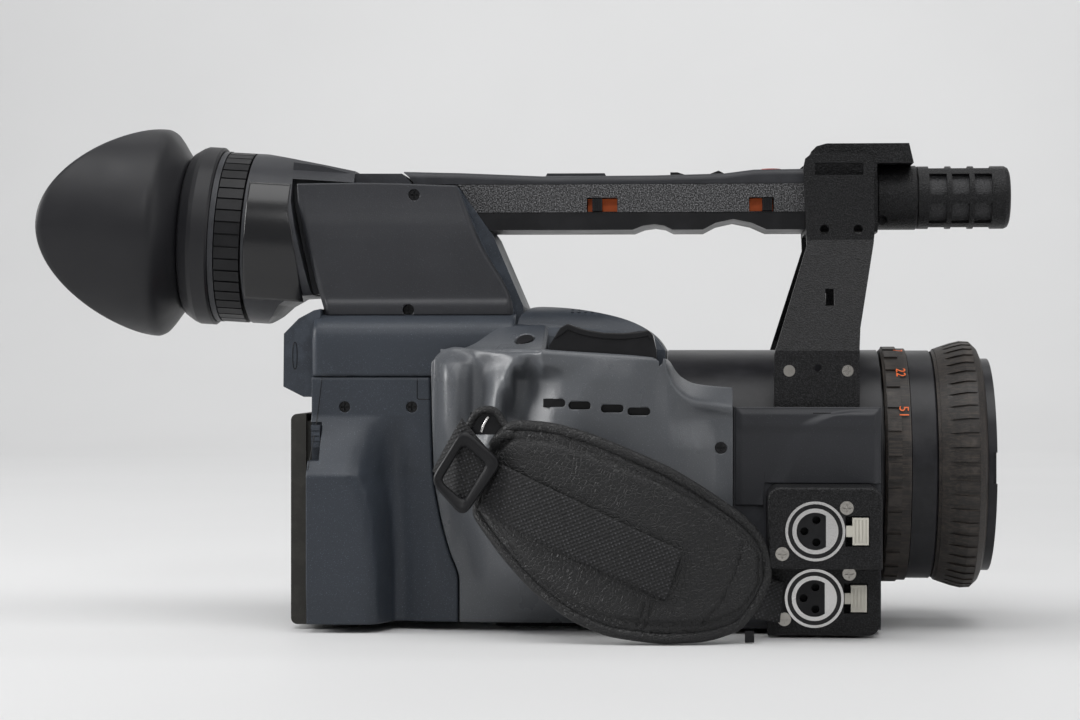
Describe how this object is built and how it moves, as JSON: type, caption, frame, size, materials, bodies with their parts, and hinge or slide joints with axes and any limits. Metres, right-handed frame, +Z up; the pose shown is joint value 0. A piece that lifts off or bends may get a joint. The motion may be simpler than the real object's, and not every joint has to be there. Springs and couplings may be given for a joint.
{
  "type": "camcorder",
  "caption": "Hand-held camcorder with carrying handle, tilting viewfinder, microphone, hand strap, fold-out screen and stepped audio socket block.",
  "frame": {"origin": "mouth of the tripod thread in the underside of the base plate", "axes": "+X forward along the lens axis, +Y to the operator's left, +Z up"},
  "size_m": [0.3792, 0.1482, 0.1964],
  "materials": {
    "casing_blue_grey": "fine matt texture, slight blue-grey",
    "casing_grey": "satin paint, metallic grey",
    "casing_dark": "matt black moulded plastic",
    "black_metal": "black crackle paint",
    "black_plastic": "matt black",
    "gloss_black": "gloss black",
    "lens_black": "satin black anodised look",
    "lens_rubber": "ribbed rubber, worn on the crests",
    "rubber": "soft matt rubber",
    "screw_steel": "small cross-head screws",
    "bright_metal": "nickel plated",
    "ivory_plastic": "satin metal-look ivory",
    "orange_plastic": "coloured backing strip",
    "red_plastic": "red translucent plastic",
    "circuit": "green board with dark parts",
    "glass": "coated optical glass",
    "screen_glass": "dark display glass",
    "mesh_steel": "fine woven mesh",
    "battery_plastic": "olive-black plastic",
    "strap_leather": "black soft synthetic leather",
    "webbing": "black woven webbing"
  },
  "bodies": {
    "camera_body": {"base_plate": "black_metal", "rubber_feet": "rubber", "left_casing": "casing_blue_grey", "top_casing": "casing_blue_grey", "rear_side_cover": "casing_blue_grey", "grip_casing": "casing_grey", "front_casing": "casing_dark", "screws": "screw_steel", "electronics": "circuit", "hinge_pins": "screw_steel", "barrel_housing": "lens_black", "lens_tube": "lens_black", "index_ring": "lens_black", "front_ring": "lens_black", "lens_glass": "glass", "xlr_block": "black_metal", "xlr_shells": "bright_metal", "xlr_inserts": "black_plastic", "mic_holder": "black_metal", "mic_grille": "black_metal", "mic_mesh": "mesh_steel", "rear_pillar": "casing_blue_grey", "handle_bottom": "casing_dark", "handle_side_plates": "black_metal", "handle_top": "casing_dark", "switch_windows": "orange_plastic", "front_pillar": "black_metal", "accessory_shoe": "black_metal", "rear_block": "casing_blue_grey", "hand_strap_pad": "strap_leather", "strap_webbing": "webbing", "strap_hardware": "black_plastic"},
    "viewfinder": {"evf_body": "casing_dark", "evf_optics": "glass", "eyecup_collar": "rubber", "eyecup": "rubber"},
    "diopter": {"diopter_ring": "black_plastic"},
    "zoom": {"zoom_ring": "lens_rubber"},
    "focus": {"focus_ring": "lens_rubber"},
    "grip_rocker_body": {"grip_rocker": "gloss_black"},
    "handle_rocker_body": {"handle_rocker": "black_plastic"},
    "handle_record": {"handle_record_button": "red_plastic"},
    "handle_zoom_slider": {"handle_zoom_switch": "black_plastic"},
    "handle_lock_slider": {"handle_lock_switch": "black_plastic"},
    "grip_push": {"grip_button": "black_plastic"},
    "rear_record": {"rear_record_button": "red_plastic"},
    "power": {"power_lever": "black_plastic"},
    "stick": {"joystick": "black_plastic"},
    "menu_push": {"rear_menu_button": "black_plastic"},
    "battery_pack": {"battery": "battery_plastic"},
    "battery_latch": {"battery_release": "black_plastic"},
    "card_cover": {"card_door": "casing_dark"},
    "screen": {"lcd_panel": "casing_dark", "lcd_screen": "screen_glass"},
    "level_knob_1": {"audio_knob_1": "black_plastic"},
    "level_knob_2": {"audio_knob_2": "black_plastic"},
    "iris": {"iris_dial": "black_plastic"},
    "side_push": {"side_button": "black_plastic"},
    "latch_upper": {"xlr_latch_upper": "ivory_plastic"},
    "latch_lower": {"xlr_latch_lower": "ivory_plastic"}
  },
  "joints": [
    {"name": "viewfinder_tilt", "type": "hinge", "parent": "camera_body", "child": "viewfinder", "pos_m": [-0.086, 0, 0.165], "axis": [0, 1, 0], "range_deg": [0, 65]},
    {"name": "diopter_turn", "type": "hinge", "parent": "viewfinder", "child": "diopter", "pos_m": [-0.139, 0, 0.153], "axis": [-0.9981, 0, 0.061], "range_deg": [-45, 45]},
    {"name": "zoom_turn", "type": "hinge", "parent": "camera_body", "child": "zoom", "pos_m": [0.115, 0, 0.0628], "axis": [1, 0, 0], "range_deg": [-45, 45]},
    {"name": "focus_turn", "type": "hinge", "parent": "camera_body", "child": "focus", "pos_m": [0.14, 0, 0.0628], "axis": [1, 0, 0], "continuous": true},
    {"name": "grip_rocker_tilt", "type": "hinge", "parent": "camera_body", "child": "grip_rocker_body", "pos_m": [0.003, -0.056, 0.1035], "axis": [0, 1, 0], "range_deg": [-6, 6], "stiffness_Nm_per_rad": 0.2},
    {"name": "handle_rocker_tilt", "type": "hinge", "parent": "camera_body", "child": "handle_rocker_body", "pos_m": [0.0388, 0, 0.1718], "axis": [0, 1, 0], "range_deg": [-5, 5], "stiffness_Nm_per_rad": 0.15},
    {"name": "handle_record_push", "type": "slide", "parent": "camera_body", "child": "handle_record", "axis": [0, 0, -1], "range_m": [0, 0.0006], "stiffness_N_per_m": 400},
    {"name": "handle_zoom_slide", "type": "slide", "parent": "camera_body", "child": "handle_zoom_slider", "axis": [1, 0, 0], "range_m": [-0.0018, 0.0054]},
    {"name": "handle_lock_slide", "type": "slide", "parent": "camera_body", "child": "handle_lock_slider", "axis": [1, 0, 0], "range_m": [-0.0046, 0.0004]},
    {"name": "grip_button_push", "type": "slide", "parent": "camera_body", "child": "grip_push", "axis": [0, 0, -1], "range_m": [0, 0.0008], "stiffness_N_per_m": 400},
    {"name": "rear_record_push", "type": "slide", "parent": "camera_body", "child": "rear_record", "axis": [1, 0, 0], "range_m": [0, 0.0012], "stiffness_N_per_m": 400},
    {"name": "power_turn", "type": "hinge", "parent": "camera_body", "child": "power", "pos_m": [-0.12, -0.02, 0.1045], "axis": [1, 0, 0], "range_deg": [-30, 30]},
    {"name": "stick_tilt", "type": "hinge", "parent": "camera_body", "child": "stick", "pos_m": [-0.114, 0.002, 0.1045], "axis": [0, 0, 1], "range_deg": [-6, 6], "stiffness_Nm_per_rad": 0.02},
    {"name": "menu_button_push", "type": "slide", "parent": "camera_body", "child": "menu_push", "axis": [1, 0, 0], "range_m": [0, 0.0008], "stiffness_N_per_m": 400},
    {"name": "battery_slide", "type": "slide", "parent": "camera_body", "child": "battery_pack", "axis": [-1, 0, 0], "range_m": [0, 0.06]},
    {"name": "battery_latch_slide", "type": "slide", "parent": "camera_body", "child": "battery_latch", "axis": [0, 0, -1], "range_m": [0, 0.003], "stiffness_N_per_m": 300},
    {"name": "card_door_swing", "type": "hinge", "parent": "camera_body", "child": "card_cover", "pos_m": [-0.1115, 0.0383, 0.05], "axis": [0, 0, -1], "range_deg": [0, 95]},
    {"name": "screen_swing", "type": "hinge", "parent": "camera_body", "child": "screen", "pos_m": [0.022, 0.047, 0.061], "axis": [0, 0, -1], "range_deg": [0, 90]},
    {"name": "level_1_turn", "type": "hinge", "parent": "camera_body", "child": "level_knob_1", "pos_m": [-0.09, 0.045, 0.08], "axis": [0, 1, 0], "range_deg": [-135, 135]},
    {"name": "level_2_turn", "type": "hinge", "parent": "camera_body", "child": "level_knob_2", "pos_m": [-0.09, 0.045, 0.062], "axis": [0, 1, 0], "range_deg": [-135, 135]},
    {"name": "iris_turn", "type": "hinge", "parent": "camera_body", "child": "iris", "pos_m": [0.08, 0.05, 0.03], "axis": [0, 1, 0], "continuous": true},
    {"name": "side_button_push", "type": "slide", "parent": "camera_body", "child": "side_push", "axis": [0, -1, 0], "range_m": [0, 0.0008], "stiffness_N_per_m": 400},
    {"name": "latch_upper_push", "type": "slide", "parent": "camera_body", "child": "latch_upper", "axis": [0, 1, 0], "range_m": [0, 0.0024], "stiffness_N_per_m": 400},
    {"name": "latch_lower_push", "type": "slide", "parent": "camera_body", "child": "latch_lower", "axis": [0, 1, 0], "range_m": [0, 0.0024], "stiffness_N_per_m": 400}
  ]
}
